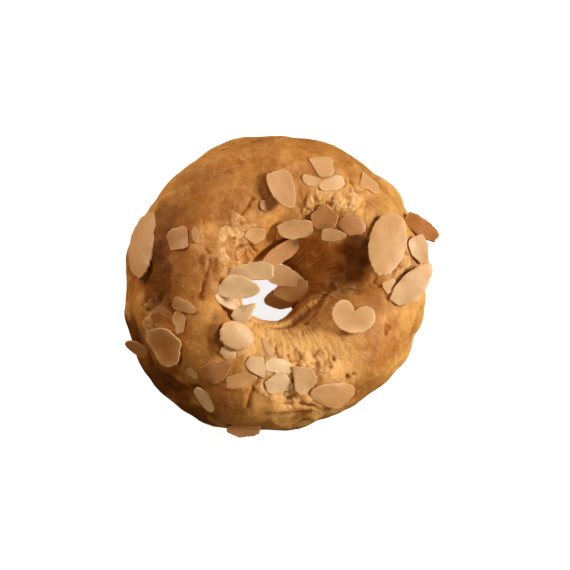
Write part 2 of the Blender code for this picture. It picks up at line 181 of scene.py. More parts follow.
class Pit(NamedTuple):
    """A small hole in the crust where a bubble broke."""
    around: float
    over: float
    radius: float
    depth: float


class Flake(NamedTuple):
    """A piece of sliced almond."""
    name: str
    spot: tuple             # around, over, rise of its middle above the dough
    turn: tuple             # heading, pitch, roll
    size: tuple             # length, width, thickness
    tip: float = 0.15       # how much narrower it is towards its pointed end
    bow: float = 0.5        # how far its ends are bent up
    cup: float = 0.2        # how far its sides are bent up
    breaks: tuple = ()      # straight broken edges: direction from the middle in degrees, and distance
    notch: tuple = ()       # a bite out of the rim: its direction and half width in degrees, and its depth
    toast: float = 0.4      # how browned it is, from 0, ivory, to 1, brown
    cup_shade: float = 0.0      # how much darker its middle is painted than its rim, as painted shade in its cup
    uneven: float = 0.12    # how far its rim wanders
    edge: float = 0.24      # how round its edge is, from 0, cut square, to 1, round


CRAGGY = [
    Patch(122, 95, 14),
    Patch(67, 65, 10),
    Patch(215, 129, 12),
    Patch(258, 45, 7),
    Patch(322, 85, 13),
    Patch(332, 42, 12),
    Patch(40, 125, 9),
]

# Where thin crust tore into flakes
TORN = [
    Patch(122, 95, 15),
    Patch(67, 65, 10),
    Patch(215, 129, 12),
    Patch(230, 108, 9),
    Patch(258, 45, 7),
    Patch(322, 85, 12),
    Patch(344, 84, 8),
    Patch(40, 125, 9),
]

BULGES = [
    Bulge(305, 48, 20, 16, 13, 2.2),
    Bulge(269, 87, 0, 10, 10, 1.4),
    Bulge(150, 55, 0, 26, 16, 0.8),
    Bulge(196, 128, 90, 16, 12, 1.0),
    Bulge(344, 118, 0, 34, 16, 0.8),
    Bulge(226, 62, 0, 16, 10, -0.9),
    Bulge(285, 20, 0, 26, 14, -1.2),
    Bulge(33, 66, 0, 8, 6, -0.6),
    Bulge(86, 128, 90, 14, 8, -1.2),
    Bulge(262, 60, 60, 12, 7, -1.0),
    Bulge(243, 119, 0, 8, 7, 1.3),
    Bulge(334, 12, 0, 28, 26, -2.4),
    Bulge(287, 8, 0, 40, 26, -1.1),
    Bulge(187, 20, 0, 16, 20, 1.1),
    Bulge(214, 12, 0, 16, 24, -0.7),
    Bulge(243, 8, 0, 12, 24, -1.0),
    Bulge(52, 8, 0, 12, 20, 1.5),
    Bulge(75, 18, 0, 14, 20, 0.9),
    Bulge(128, 20, 0, 22, 20, -0.9),
    Bulge(25, 8, 0, 16, 20, 1.0),
    Bulge(102, 26, 0, 11, 11, 1.2),
    Bulge(8, 172, 90, 14, 12, 0.9),
    Bulge(197, 165, 0, 16, 14, 2.0),
]

# A flap of skin that rose over the solid's own relief
SKIN_BULGES = [
    Bulge(334, 40, -4, 34, 15, 1.3),
]

FOLDS = [
    Fold(232, 103, 15, 17, 0.8, 9),
    Fold(212, 126, 66, 6, 0.6, 5),
    Fold(330, 51, -5, 21, 1.3, 7),
    Fold(312, 40, 58, 11, 0.7, 5),
    Fold(21, 131, 180, 11, 0.9, 6),
    Fold(304, 65, 24, 11, 1.0, 5),
    Fold(332, 96, 4, 20, -0.6, 8),
    Fold(245, 32, 83, 11, 0.8, 6),
    Fold(251, 97, -5, 9, 0.7, 5),
    Fold(174, 102, 128, 5, 0.6, 4),
]

CRACKS = [
    Crack(((185, 97), (190, 102), (199, 106)), 0.45, 0.7),
    Crack(((209, 103), (216, 116)), 0.45, 0.6),
    Crack(((212, 73), (220, 86), (229, 91), (239, 99), (248, 96)), 0.35, 0.4),
    Crack(((251, 93), (259, 90)), 0.45, 0.6),
    Crack(((5, 132), (347, 131)), 0.45, 0.4),
    Crack(((51, 132), (14, 132)), 0.6, 0.35),
    Crack(((63, 95), (57, 96), (54, 86), (46, 81)), 0.5, 0.8),
    Crack(((305, 80), (309, 68), (309, 52)), 0.45, 0.6),
    Crack(((275, 55), (279, 45)), 0.5, 0.9),
    Crack(((325, 59), (335, 56), (342, 48)), 0.45, 0.6),
]

PITS = [
    Pit(32, 71, 1.3, 0.9),
    Pit(30, 69, 0.8, 0.7),
    Pit(358, 65, 1.0, 0.9),
    Pit(1, 66, 0.7, 0.6),
    Pit(354, 87, 0.9, 0.7),
    Pit(350, 83, 0.7, 0.5),
    Pit(211, 49, 0.5, 0.5),
    Pit(177, 28, 1.1, 0.6),
    Pit(166, 34, 0.6, 0.5),
    Pit(256, 36, 1.1, 0.7),
    Pit(253, 38, 0.7, 0.6),
]

# The inner slope that stretched while it baked
WRINKLED = [
    Patch(325, 135, 17),
    Patch(352, 110, 15),
    Patch(10, 140, 15, 0.4),
    Patch(60, 135, 13),
    Patch(110, 150, 13),
]

# Skin that turned brown first, and painted shade on the inner slope beside the largest slice
BROWNED_AND_SHADED = [
    Patch(150, 38, 17),
    Patch(122, 48, 11),
    Patch(166, 66, 11),
    Patch(145, 62, 12),
    Patch(183, 58, 8),
    Patch(190, 72, 17, 0.9),
    Patch(197, 50, 10),
    Patch(212, 62, 12),
    Patch(205, 95, 9, 0.8),
    Patch(232, 60, 13),
    Patch(240, 80, 11),
    Patch(240, 15, 14),
    Patch(262, 55, 10),
    Patch(272, 12, 16),
    Patch(304, 48, 9, 0.7),
    Patch(22, 62, 12, 0.8),
    Patch(10, 40, 13, 0.7),
    # Painted shade on the slope beside the largest slice
    Patch(84, 108, 8),
    Patch(50, 115, 13),
    Patch(32, 98, 9, 0.8),
    Patch(12, 118, 9, 0.6),
    Patch(130, 140, 9, 0.6),
]

# Skin painted darkest brown: scorched at the foot and in folds that lay in the oven's heat, darker along the
# crest's left side, and painted shade on the shadowed flank by the foot, beside the largest slice and the
# half almond, and in the crease down into the hole
SHADE_AND_SCORCH = [
    # The flank by the foot: scorching and painted shade
    Patch(278, 2, 13, 0.85),
    Patch(262, 2, 10, 0.9),
    Patch(284, 19, 7),
    Patch(290, 12, 7, 0.7),
    Patch(298, 2, 9, 0.9),
    Patch(248, 9, 10, 0.15),
    Patch(291, 52, 4, 0.4),
    # Darker along the crest's left side
    Patch(210, 48, 10, 0.4),
    Patch(219, 42, 10, 0.7),
    Patch(228, 42, 10, 0.8),
    Patch(236, 44, 10),
    Patch(236, 64, 8, 0.55),
    Patch(243, 52, 9),
    Patch(249, 44, 9, 0.85),
    Patch(248, 66, 8, 0.5),
    Patch(256, 48, 8, 0.65),
    Patch(260, 33, 7, 0.5),
    # Painted shadow of the half almond
    Patch(281, 83, 5, 0.75),
    Patch(278, 90, 5, 0.75),
    Patch(273, 97, 4, 0.6),
    # Painted shadow of the largest slice, on the slope into the hole
    Patch(98, 101, 6, 0.8),
    Patch(88, 106, 6),
    Patch(78, 110, 7),
    Patch(66, 114, 7, 0.9),
    Patch(52, 121, 6, 0.85),
    Patch(54, 108, 8, 0.65),
    Patch(42, 104, 9, 0.5),
    Patch(46, 86, 7, 0.35),
    # Painted shade in the crease down into the hole
    Patch(20, 136, 8, 0.5),
    Patch(0, 137, 7, 0.5),
    Patch(346, 147, 6, 0.45),
]

# Skin that stayed pale gold, and painted light where the flap and the lower inner slope face the light
GOLDEN_AND_LIT = [
    Patch(325, 128, 20, 0.9),
    Patch(330, 102, 13, 0.8),
    Patch(345, 92, 14, 0.8),
    Patch(354, 74, 9, 0.8),
    Patch(328, 50, 9, 0.5),
    Patch(338, 45, 10, 0.5),
    Patch(322, 78, 7),
]

# Thin pale flakes of crust that lifted and dried
PALE_FLAKES = [
    Patch(207, 114, 3.6),
    Patch(212, 112, 2.6),
    Patch(201, 121, 2.2),
    Patch(309, 87, 2.6),
    Patch(316, 90, 2.8),
    Patch(322, 93, 2.4),
    Patch(314, 77, 3.4),
    Patch(294, 98, 3.0),
    Patch(166, 140, 2.4),
    Patch(126, 92, 2.6),
    Patch(119, 97, 2.4),
    Patch(133, 97, 2.2),
    Patch(141, 104, 2.0),
    Patch(112, 84, 2.4),
    Patch(231, 112, 2.4),
    Patch(219, 104, 2.2),
    Patch(64, 74, 2.4),
    Patch(70, 67, 2.6),
    Patch(337, 98, 2.2),
    Patch(346, 94, 2.0),
    Patch(262, 34, 2.2),
    Patch(254, 38, 1.6),
]

# Slices that are pieces of their own
SLICES = [
    Flake("slice_crest_curled", (164, 96, 1.4), (102, 13, -8), (12.8, 8.0, 1.2), 0.25, 0.8, 0.5,
          ((180, 5.2),), toast=0.55),
    Flake("slice_rim_square", (149, 129, 1.6), (-163, -9, -13), (12.3, 5.8, 1.2), 0.0, 0.3, 0.4,
          ((5, 5.0), (205, 5.0)), toast=0.5),
    Flake("slice_rim_pointed", (108, 117, 0.9), (-135, 0, -2), (8.0, 3.6, 1.2), 0.30, 0.4, 0.2,
          ((180, 3.4),)),
    Flake("slice_hole_leaf", (168, 153, 3.5), (-157, -30, -35), (14.2, 5.4, 1.3), -0.22, 0.5, 0.3,
          toast=0.7),
    Flake("slice_hole_left", (244, 125, 6.2), (92, 70, 6), (14.0, 5.4, 1.3), -0.40, 0.2, 0.2,
          ((0, 6.2), (-90, 2.2)), toast=0.05),
    Flake("slice_hole_right", (91, 164, 5.2), (36, 45, 33), (12.6, 5.8, 1.2), -0.30, 0.6, 0.3, ((0, 5.4),),
          toast=0.3),
    Flake("slice_hole_under", (30, 163, 3.2), (105, 42, -20), (11.6, 6.9, 1.2), 0.10, 0.3, 0.4,
          ((60, 3.6), (180, 4.8)), toast=0.35),
    Flake("slice_hole_deep", (22, 188, 4.9), (142, 63, -66), (11.0, 6.5, 1.2), 0.10, 0.3, 0.4, toast=0.1),
    Flake("slice_rim_pale", (257, 117, 4.3), (51, 55, 31), (13.4, 6.4, 1.2), 0.15, 0.4, 0.3, ((140, 4.0),),
          toast=0.0),
    Flake("slice_rim_lower", (262, 113, 0.6), (30, 14, 16), (9.4, 5.0, 1.2), 0.10, 0.4, 0.2, ((180, 4.0),),
          toast=0.1),
    Flake("slice_rim_triangle", (278, 118, 2.5), (94, 51, 6), (8.3, 4.4, 1.2), 0.5, 0.2, 0.1, ((180, 3.2),),
          toast=0.1),
    Flake("slice_side_long", (230, 25, 0.4), (16, 0, -8), (21.0, 10.5, 1.4), 0.12, -1.0, -0.4, toast=0.5),
    Flake("slice_side_oval", (271, 44, 1.0), (-8, 0, -11), (11.2, 9.8, 1.3), 0.2, 0.5, 0.5,
          ((-78, 3.5), (120, 4.6)), cup_shade=0.6, toast=0.45),
    Flake("slice_side_stub", (267, 12, 2.2), (-174, 37, 37), (7.4, 3.6, 1.4), 0.10, 0.2, 0.1, ((180, 3.0),),
          toast=0.8),
    Flake("slice_bottom_edge", (314, 23, 0.8), (-165, 10, 31), (9.8, 5.0, 1.3), 0.20, 0.5, 0.4, toast=0.8),
    Flake("slice_half_almond", (286, 99, 1.5), (31, 2, 4), (10.0, 8.0, 2.8), 0.10, 0.0, -0.3, toast=0.25,
          edge=0.5, uneven=0.03),
    Flake("slice_front_pointed", (332, 80, 0.9), (-105, 3, 7), (8.8, 7.6, 1.2), 0.55, 0.4, 0.3,
          ((180, 3.4), (125, 3.7), (-76, 2.7)), toast=0.35),
    Flake("slice_front_long", (349, 56, 0.5), (148, 3, 7), (17.0, 7.6, 1.3), 0.25, -0.7, -0.2,
          ((180, 7.6), (140, 5.6)), toast=0.6, uneven=0.05),
    Flake("slice_largest", (80, 85, 1.4), (144, 5, 9), (20.2, 11.2, 1.9), 0.10, 0.3, -0.3, toast=0.48,
          edge=0.5, uneven=0.03),
    Flake("slice_stick", (83, 41, 2.6), (-167, 32, 46), (13.4, 5.6, 1.9), 0.05, 0.2, 0.1,
          ((0, 5.6), (180, 5.8)), toast=1.0),
    Flake("slice_right_upper", (75, 53, 1.0), (-162, 4, 33), (8.8, 6.6, 1.2), 0.20, 0.4, 0.3,
          ((180, 3.8), (60, 3.0))),
    Flake("slice_right_long", (58, 64, 2.1), (-31, 16, -21), (18.0, 7.8, 1.3), 0.30, -0.6, 0.2,
          ((190, 7.8), (-125, 5.0)), uneven=0.05, toast=0.3),
    Flake("slice_kidney", (24, 104, 1.0), (-63, 0, 7), (12.4, 10.8, 1.3), 0.0, 0.4, 0.7, (), (78, 36, 4.3),
          toast=0.2, uneven=0.03, cup_shade=0.2),
    Flake("slice_edge_pale", (295, 38, 1.0), (-26, 0, -10), (8.8, 3.6, 1.2), 0.0, 0.5, 0.1, toast=0.1),
    Flake("slice_far_long", (118, -24, 0.6), (12, 0, 0), (16.0, 9.5, 1.3), 0.15, -0.8, -0.3),
    Flake("slice_far_broken", (64, -12, 0.8), (160, 0, 4), (11.0, 8.5, 1.2), 0.10, -0.4, -0.2, ((180, 4.0),)),
    Flake("slice_far_small", (150, -16, 0.7), (-40, 0, 3), (9.0, 6.0, 1.2), 0.25, -0.3, 0.0),
    Flake("slice_near_low", (306, -44, 0.5), (-170, 0, 0), (12.5, 7.0, 1.2), 0.20, -0.6, -0.2),
]

# Smaller chips, baked onto the dough
CHIPS = [
    Flake("chip", (137, 69, 0.3), (-142, 3, 0), (9.0, 7.2, 1.4), 0.35, 0.2, 0.2, ((180, 3.2), (75, 2.9)),
          toast=0.45),
    Flake("chip", (142, 86, 0.4), (-174, 3, 0), (6.4, 3.4, 1.3), 0.1, 0.2, 0.2, ((80, 1.3), (200, 2.6)),
          toast=0.35),
    Flake("chip", (129, 82, 0.4), (-141, 0, 0), (9.0, 5.0, 1.4), 0.1, 0.2, 0.2, ((100, 1.9), (0, 3.6)),
          toast=0.25),
    Flake("chip", (111, 57, 0.2), (-137, 3, 0), (9.6, 6.4, 1.3), 0.0, 0.2, 0.2, ((150, 3.6), (-20, 3.8)),
          toast=0.6),
    Flake("chip", (174, 108, 0.5), (174, 4, 0), (6.2, 4.2, 1.3), 0.1, 0.2, 0.2, ((90, 1.6),), toast=0.85),
    Flake("chip", (124, 111, 0.6), (-162, -4, 8), (7.8, 7.2, 1.6), 0.1, 0.3, 0.3, ((60, 3.1),), toast=0.85),
    Flake("chip", (103, 102, 0.2), (-134, 0, 0), (7.8, 6.2, 1.4), 0.1, 0.1, 0.1, ((220, 3.0),), toast=0.85),
    Flake("chip", (198, 130, 0.3), (138, 0, 0), (9.2, 5.4, 1.2), 0.0, 0.2, 0.2, ((30, 3.4), (250, 2.0)),
          toast=0.45),
    Flake("chip", (279, 129, 0.3), (87, 4, 0), (8.4, 5.0, 1.3), 0.3, 0.2, 0.1, ((180, 3.2),), toast=0.8),
    Flake("chip", (228, 65, 0.7), (13, 3, -6), (8.2, 6.8, 1.4), 0.1, 0.3, 0.3, ((0, 3.1), (100, 2.8)),
          toast=0.75),
    Flake("chip", (224, 79, 0.5), (26, 0, 10), (5.0, 2.0, 1.3), 0.1, 0.1, 0.0, toast=0.6),
    Flake("chip", (259, 72, 0.7), (51, 4, 10), (7.8, 4.0, 1.3), 0.2, 0.3, 0.2, ((-80, 1.5), (180, 3.2)),
          toast=0.5),
    Flake("chip", (265, 64, 0.7), (-4, 0, 12), (7.2, 4.0, 1.3), 0.1, 0.2, 0.2, ((0, 2.9), (60, 1.8)),
          toast=0.5),
    Flake("chip", (289, 84, 0.7), (11, 0, 0), (4.6, 3.8, 1.8), 0.0, 0.0, -0.2, toast=0.35),
    Flake("chip", (308, 107, 0.4), (-61, 2, 12), (6.8, 2.4, 1.3), 0.0, 0.2, 0.0, ((0, 3.0),), toast=0.45),
    Flake("chip", (305, 87, 0.6), (-38, 4, 4), (7.2, 5.4, 1.3), 0.0, 0.3, 0.2, ((150, 2.7), (-60, 2.1)),
          toast=0.25),
    Flake("chip", (317, 92, 0.5), (1, 0, -6), (9.2, 4.4, 1.5), 0.0, 0.2, 0.2, ((180, 3.8), (20, 3.6)),
          toast=0.12),
    Flake("chip", (319, 77, 0.5), (11, 0, 0), (8.6, 6.2, 1.3), 0.0, 0.3, 0.2, ((120, 2.6), (30, 3.6)),
          toast=0.2),
    Flake("chip", (291, 66, 0.6), (53, 6, 0), (11.0, 5.8, 1.5), 0.0, 0.4, 0.3, ((200, 4.4), (-40, 3.0)),
          toast=0.9),
    Flake("chip", (302, 71, 0.8), (34, 6, 12), (10.4, 4.0, 1.4), 0.1, 0.3, 0.2, ((180, 4.2), (-70, 1.5)),
          toast=0.6),
    Flake("chip", (285, 49, 0.7), (-1, 8, 0), (3.8, 2.8, 1.3), 0.1, 0.2, 0.1, ((90, 1.1),), toast=0.25),
    Flake("chip", (56, 82, 0.5), (-44, 4, 0), (5.4, 3.8, 1.3), 0.1, 0.2, 0.1, ((180, 2.2),)),
    Flake("chip", (40, 12, 0.8), (-12, 0, 6), (8.0, 4.6, 1.3), 0.0, -0.2, -0.1, ((0, 3.5),), toast=0.45),
    Flake("chip", (95, -26, 0.4), (30, 0, 0), (7.0, 4.6, 1.3), 0.2, -0.2, 0.0, ((180, 2.8),), toast=0.45),
    Flake("chip", (20, -24, 0.4), (70, 0, 0), (7.4, 5.0, 1.3), 0.2, -0.2, 0.0, ((140, 2.6),), toast=0.45),
    Flake("chip", (238, -30, 0.4), (20, 0, 0), (7.8, 5.0, 1.3), 0.2, -0.2, 0.0, ((200, 3.0),), toast=0.45),
]


# ---- The surface of the ring; angles in radians, as one number or as an array ----

def smooth_ring(around, over):
    """Points of the ring before its relief."""
    oval = OVAL_SHARE * np.cos(2 * (around - math.radians(OVAL_HEADING)))
    lobes = LOBE_SHARE * np.cos(3 * (around - math.radians(LOBE_HEADING)))
    outer = RING_RADIUS * (1 + oval + lobes)
    hole = HOLE_RADIUS + HOLE_OFFSET[0] * np.cos(around) + HOLE_OFFSET[1] * np.sin(around)
    reach = (outer + hole) / 2 + (outer - hole) / 2 * np.cos(over)
    rise = np.where(np.sin(over) > 0, CREST_RISE, UNDERSIDE_DROP)
    height = BELLY_HEIGHT + rise * np.sin(over)
    return RING_CENTRE + np.stack((reach * np.cos(around), reach * np.sin(around), height), axis=-1)


def unit(vectors):
    return vectors / np.linalg.norm(vectors, axis=-1, keepdims=True)


def directions(around, over):
    """The unit vectors along increasing `around` and `over`, and outwards."""
    small = 0.001
    along = unit(smooth_ring(around + small, over) - smooth_ring(around - small, over))
    across = unit(smooth_ring(around, over + small) - smooth_ring(around, over - small))
    outwards = unit(np.cross(along, across))
    return along, np.cross(outwards, along), outwards


def smooth_step(x):
    x = np.clip(x, 0, 1)
    return x * x * (3 - 2 * x)


def spot_on_ring(around, over):
    """A place of the tables as a point of the smooth ring."""
    return smooth_ring(math.radians(around), math.radians(over))


def local_place(feature, points):
    """Where points lie as seen from a feature: ahead, to its left, and their distance from it."""
    along, across, outwards = directions(math.radians(feature.around), math.radians(feature.over))
    turn = math.radians(feature.heading)
    ahead = along * math.cos(turn) + across * math.sin(turn)
    offset = points - spot_on_ring(feature.around, feature.over)
    return offset @ ahead, offset @ np.cross(outwards, ahead), np.linalg.norm(offset, axis=-1)


def noise_at(points, size, seed=0.0):
    """Smooth noise, about -1 to 1, with lumps of this size."""
    places = (points - RING_CENTRE) / size + seed
    return np.array([noise.noise(place) for place in places.tolist()])


def patch_share(patches, points, raggedness=0.0):
    """How far points lie inside any of these patches, 0 to 1; raggedness lets their borders wander."""
    share = np.zeros(len(points))
    reach = 1 + raggedness * noise_at(points, PATCH_RAG_SIZE, 14.2) if raggedness else 1
    for patch in patches:
        distance = np.linalg.norm(points - spot_on_ring(patch.around, patch.over), axis=-1) / reach
        inside = smooth_step(PATCH_BORDER * (1 - distance / (patch.radius * MM)))
        share = np.maximum(share, patch.strength * inside)
    return share


def off_foot_share(points):
    """How much of the relief shows: none on the flat foot, and all of it a little higher up."""
    return smooth_step((points[:, 2] - FOOT_HEIGHT) / (RELIEF_FULL_AT - FOOT_HEIGHT))


def plate_height(points):
    """The dough's broken plates, each at a height of its own."""
    heights = []
    for place in ((points - RING_CENTRE) / PLATE_SIZE).tolist():
        place = Vector(place)
        nearest = noise.voronoi(place + PLATE_WARP * noise.noise_vector(place * 1.4))[1][0]
        heights.append(PLATE_HEIGHT * noise.noise(nearest * 3.7))
    return np.array(heights)


def shard_height(places):
    """Small torn shards of crust, each at a height and a tilt of its own; places count in shards."""
    heights = []
    for place in places.tolist():
        place = Vector(place)
        bent = place + 0.6 * noise.noise_vector(place * 1.3) + 0.2 * noise.noise_vector(place * 3.4)
        nearest = noise.voronoi(bent)[1][0]
        tilt = noise.noise_vector(nearest * 5.3)
        heights.append(noise.noise(nearest * 3.1) + SHARD_TILT * tilt.dot(bent - nearest))
    return np.array(heights)


def layer_height(points):
    """Torn layers of crust that lie on each other, each with a sharp edge."""
    level = noise_at(points, LAYER_SIZE, 4.1) + 0.5 * noise_at(points, LAYER_SIZE / 2.3, 8.6)
    level = (level + 0.10 * noise_at(points, LAYER_SIZE / 6, 1.7)) * LAYERS_PER_SIZE
    whole = np.floor(level)
    return (whole + smooth_step((level - whole - 1 + LAYER_EDGE) / LAYER_EDGE)) / LAYERS_PER_SIZE


def pale_flake_share(points):
    """How far points lie on one of the pale flakes, whose outlines are ragged and sharp."""
    rag = FLAKE_RAGGEDNESS * noise_at(points, FLAKE_RAG_SIZE, 6.4)
    share = np.zeros(len(points))
    for flake in PALE_FLAKES:
        distance = np.linalg.norm(points - spot_on_ring(flake.around, flake.over), axis=-1)
        share = np.maximum(share, smooth_step(FLAKE_BORDER * (1 + rag - distance / (flake.radius * MM))))
    return share


def spread_from(bulge, points):
    """How far points lie from a lump's middle: 0 there and 1 on its rim, and their distance in metres."""
    ahead, left, distance = local_place(bulge, points)
    return (2 * ahead / (bulge.length * MM)) ** 2 + (2 * left / (bulge.width * MM)) ** 2, distance


def bulge_height(bulge, points):
    spread, distance = spread_from(bulge, points)
    height = bulge.height * MM * np.exp(-spread * spread * 0.8)
    return np.where(distance > bulge.length * MM * 1.5, 0, height)


def fold_height(fold, points):
    ahead, left, distance = local_place(fold, points)
    half = fold.length * MM / 2
    ends = smooth_step(1.4 * (1 - np.abs(ahead) / (half * 1.25)))
    behind = np.exp(-np.maximum(left, 0) / (fold.fall * MM))
    height = fold.step * MM * ends * behind * smooth_step(0.5 + left / FOLD_LIP)
    return np.where(distance > half + 3 * fold.fall * MM, 0, height)


def covered_share(flakes, points):
    """How far points lie under any of these slices or chips."""
    share = np.zeros(len(points))
    for flake in flakes:
        around, over, _ = flake.spot
        length, width, _ = flake.size
        spread, _ = spread_from(Bulge(around, over, flake.turn[0], length, width, 0), points)
        share = np.maximum(share, smooth_step(COVER_BORDER * (COVER_REACH - spread)))
    return share


def relief(points, lump_share=1.0, plate_share=1.0, fold_share=1.0):
    """How far the baked surface stands off the smooth ring; the solid has it with all three shares at 1."""
    height = SWELL_HEIGHT * noise_at(points, SWELL_SIZE)
    height += lump_share * LUMP_HEIGHT * noise_at(points, LUMP_SIZE)
    share = patch_share(CRAGGY, points) * plate_share
    craggy = share > 0
    height[craggy] += share[craggy] * plate_height(points[craggy])
    for bulge in BULGES:
        height += bulge_height(bulge, points)
    for fold in FOLDS:
        height += fold_share * fold_height(fold, points)
    return height


def skin_relief(points):
    """The same for the skin that shows: flatter under chips and fuller under slices, so that they rest."""
    seat = SEAT_SHARE * covered_share(SLICES, points)
    plate_share = SKIN_PLATE_SHARE * (1 - covered_share(CHIPS, points))
    shares = [share + (1 - share) * seat for share in (SKIN_LUMP_SHARE, plate_share, SKIN_FOLD_SHARE)]
    height = relief(points, *shares)
    for bulge in SKIN_BULGES:
        height += bulge_height(bulge, points)
    return height


def crack_depth(crack, points):
    """How deep a crack is at points; its line wanders as the points are pushed about first."""
    nearest = np.full(len(points), np.inf)
    line = [spot_on_ring(*place) for place in crack.places]
    for start, end in zip(line, line[1:]):
        along = np.clip((points - start) @ (end - start) / np.dot(end - start, end - start), 0, 1)
        off = points - start - along[:, None] * (end - start)
        nearest = np.minimum(nearest, np.linalg.norm(off, axis=-1))
    return crack.depth * MM * np.exp(-((nearest / (crack.width * MM)) ** 2))


def places_along(around, over, across_share):
    """Places where noise comes out in streaks that run over the ring: their lengths count for this share."""
    flat = RING_RADIUS / 2
    places = (np.cos(around) * flat, np.sin(around) * flat, over * SECTION_RADIUS * across_share)
    return np.stack(places, axis=-1)


def wrinkle_height(around, over, points):
    """Fine pleats that run over the ring, from the crest down into the hole."""
    places = places_along(around, over, WRINKLE_SPACING / WRINKLE_LENGTH) / WRINKLE_SPACING
    pleats = np.array([noise.noise(place) for place in places.tolist()])
    return WRINKLE_HEIGHT * patch_share(WRINKLED, points) * (1 - 2 * np.abs(pleats))


def fine_relief(around, over, points):
    """What the solid is too coarse for: torn flakes, cracks, pits, pleats and the skin's small crumple."""
    craggy = patch_share(TORN, points)
    bare = 1 - covered_share(CHIPS, points)
    torn = (CALM_SHARE + (1 - CALM_SHARE) * craggy) * bare
    height = torn * LAYER_HEIGHT * layer_height(points)
    height += torn * SHARD_HEIGHT * shard_height(places_along(around, over, SHARD_SHARE) / SHARD_SIZE)
    height += bare * FLAKE_HEIGHT * pale_flake_share(points)
    height += (1 - 0.5 * craggy) * bare * CRUMPLE_HEIGHT * noise_at(points, CRUMPLE_SIZE, 7.3)
    height += (1 + craggy) * SKIN_HEIGHT * noise_at(points, SKIN_SIZE, 2.9)
    height += wrinkle_height(around, over, points)
    push = np.stack([noise_at(points, CRACK_WARP_SIZE, seed) for seed in (11.0, 23.0, 37.0)], axis=-1)
    wandering = points + CRACK_WARP * push
    for crack in CRACKS:
        height -= bare * crack_depth(crack, wandering)
    for pit in PITS:
        distance = np.linalg.norm(wandering - spot_on_ring(pit.around, pit.over), axis=-1) / (pit.radius * MM)
        height -= pit.depth * MM * np.exp(-distance ** 4)
    return height


# ---- Mesh helpers ----

def new_piece(name, bm, material):
    """Turns a bmesh into a smooth piece that rides on the one body."""
    bmesh.ops.recalc_face_normals(bm, faces=bm.faces)
    for face in bm.faces:
        face.smooth = True
    mesh = bpy.data.meshes.new(name)
    bm.to_mesh(mesh)
    bm.free()
    mesh.materials.append(material)
    piece = bpy.data.objects.new(name, mesh)
    bpy.context.scene.collection.objects.link(piece)
    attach(piece, "root")
    return piece


def set_shares(mesh, name, values):
    """Keeps a number for each vertex, for the material to read."""
    mesh.attributes.new(name, "FLOAT", "POINT").data.foreach_set("value", np.asarray(values, np.float32))


# ---- The dough ----

def over_of_turn(turn):
    """Spreads the rows over the ring: close together on top, wide on the flat underside."""
    top = math.radians(TOP_ENDS_AT - TOP_STARTS_AT)
    start = math.radians(TOP_STARTS_AT)
    share = ((turn - start) % (2 * math.pi)) / (2 * math.pi)
    on_top = share / TOP_SHARE_OF_STEPS * top
    below = top + (share - TOP_SHARE_OF_STEPS) / (1 - TOP_SHARE_OF_STEPS) * (2 * math.pi - top)
    return start + np.where(share < TOP_SHARE_OF_STEPS, on_top, below)


def blurred(grid, steps):
    """A grid of heights that wraps round both ways, averaged over its neighbours."""
    for axis in (0, 1):
        total = sum(np.roll(grid, shift, axis) for shift in range(-steps, steps + 1))
        grid = total / (2 * steps + 1)
    return grid


def make_dough(material):
    """The ring: a circle spun into a torus, whose points are then moved onto the baked surface."""
    bm = bmesh.new()
    bmesh.ops.create_circle(bm, segments=STEPS_OVER, radius=SECTION_RADIUS)
    upright = Matrix.Translation((RING_RADIUS, 0, 0)) @ Matrix.Rotation(math.pi / 2, 4, "X")
    bmesh.ops.transform(bm, matrix=upright, verts=bm.verts)
    bmesh.ops.spin(bm, geom=bm.verts[:] + bm.edges[:], cent=(0, 0, 0), axis=(0, 0, 1), dvec=(0, 0, 0),
                   angle=2 * math.pi, steps=STEPS_AROUND, use_merge=True)
    dough = new_piece("dough", bm, material)
    mesh = dough.data

    place = np.zeros(len(mesh.vertices) * 3)
    mesh.vertices.foreach_get("co", place)
    x, y, z = place.reshape(-1, 3).T
    around = np.arctan2(y, x)
    turn = np.arctan2(z, np.hypot(x, y) - RING_RADIUS)
    over = over_of_turn(turn)

    points = smooth_ring(around, over)
    outwards = directions(around, over)[2]
    height = (skin_relief(points) + fine_relief(around, over, points)) * off_foot_share(points)
    baked = points + outwards * height[:, None]
    baked[:, 2] = np.maximum(baked[:, 2], 0)
    mesh.vertices.foreach_set("co", baked.ravel())
    mesh.update()

    column = np.rint(around / (2 * math.pi) * STEPS_AROUND).astype(int) % STEPS_AROUND
    row = np.rint(turn / (2 * math.pi) * STEPS_OVER).astype(int) % STEPS_OVER
    grid = np.zeros((STEPS_AROUND, STEPS_OVER))
    grid[column, row] = height
    raised = 0.5
    for steps, full_height, weight in (NEAR_RELIEF, WIDE_RELIEF):
        raised = raised + weight * ((grid - blurred(grid, steps)) / full_height)
    set_shares(mesh, "raised", np.clip(raised, 0, 1)[column, row])
    set_shares(mesh, "craggy", patch_share(TORN, points))
    # These patches carry painted shade and painted light as well as browning and scorching
    for name, patches in (("browned_and_shaded", BROWNED_AND_SHADED), ("shade_and_scorch", SHADE_AND_SCORCH), ("golden", GOLDEN_AND_LIT)):
        set_shares(mesh, name, patch_share(patches, points, PATCH_RAGGEDNESS))
    set_shares(mesh, "flaked", pale_flake_share(points))
    stretched = places_along(around, over, STREAK_SHARE).astype(np.float32)
    mesh.attributes.new("stretched", "FLOAT_VECTOR", "POINT").data.foreach_set("vector", stretched.ravel())
    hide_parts("dough_ring")


# ---- The almonds ----

